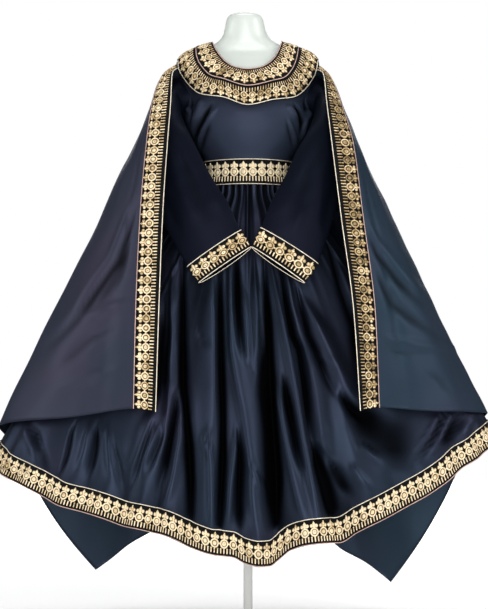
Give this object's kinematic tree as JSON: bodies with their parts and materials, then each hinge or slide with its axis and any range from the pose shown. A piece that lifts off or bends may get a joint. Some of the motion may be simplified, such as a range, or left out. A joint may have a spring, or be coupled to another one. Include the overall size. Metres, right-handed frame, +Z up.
{
  "type": "afghan bridal dress with cape on dress form",
  "caption": "Long-sleeved full-skirted satin dress with a yoke collar, belt, bordered hem and cuffs, and an open-front cape, worn by a limbless dress form on a stand.",
  "frame": {"origin": "centre of the flat underside of the stand's base, on the floor", "axes": "+Z up, the dress's front faces -Y, +X is the right of a viewer who stands in front of it"},
  "size_m": [1.4125, 0.6238, 1.689],
  "materials": {
    "satin_navy": "dark navy satin, soft sheen",
    "embroidered_band": "black ground with dense gold metallic thread embroidery",
    "gold_piping": "pale gold metallic cord",
    "form_white": "smooth glossy white",
    "stand_white": "plain white paint"
  },
  "bodies": {
    "root": {"belt": "embroidered_band", "bodice_back": "satin_navy", "bodice_front": "satin_navy", "cape_band_left": "embroidered_band", "cape_band_right": "embroidered_band", "cape_left": "satin_navy", "cape_right": "satin_navy", "collar_cord_edge": "gold_piping", "collar_cord_middle": "gold_piping", "collar_cord_neck": "gold_piping", "collar_inner": "embroidered_band", "collar_outer": "embroidered_band", "cuff_left": "embroidered_band", "cuff_right": "embroidered_band", "form_base": "stand_white", "form_body": "form_white", "form_pole": "stand_white", "hem_band_back": "embroidered_band", "hem_band_front": "embroidered_band", "skirt_back": "satin_navy", "skirt_front": "satin_navy", "sleeve_left": "satin_navy", "sleeve_right": "satin_navy"}
  },
  "joints": []
}
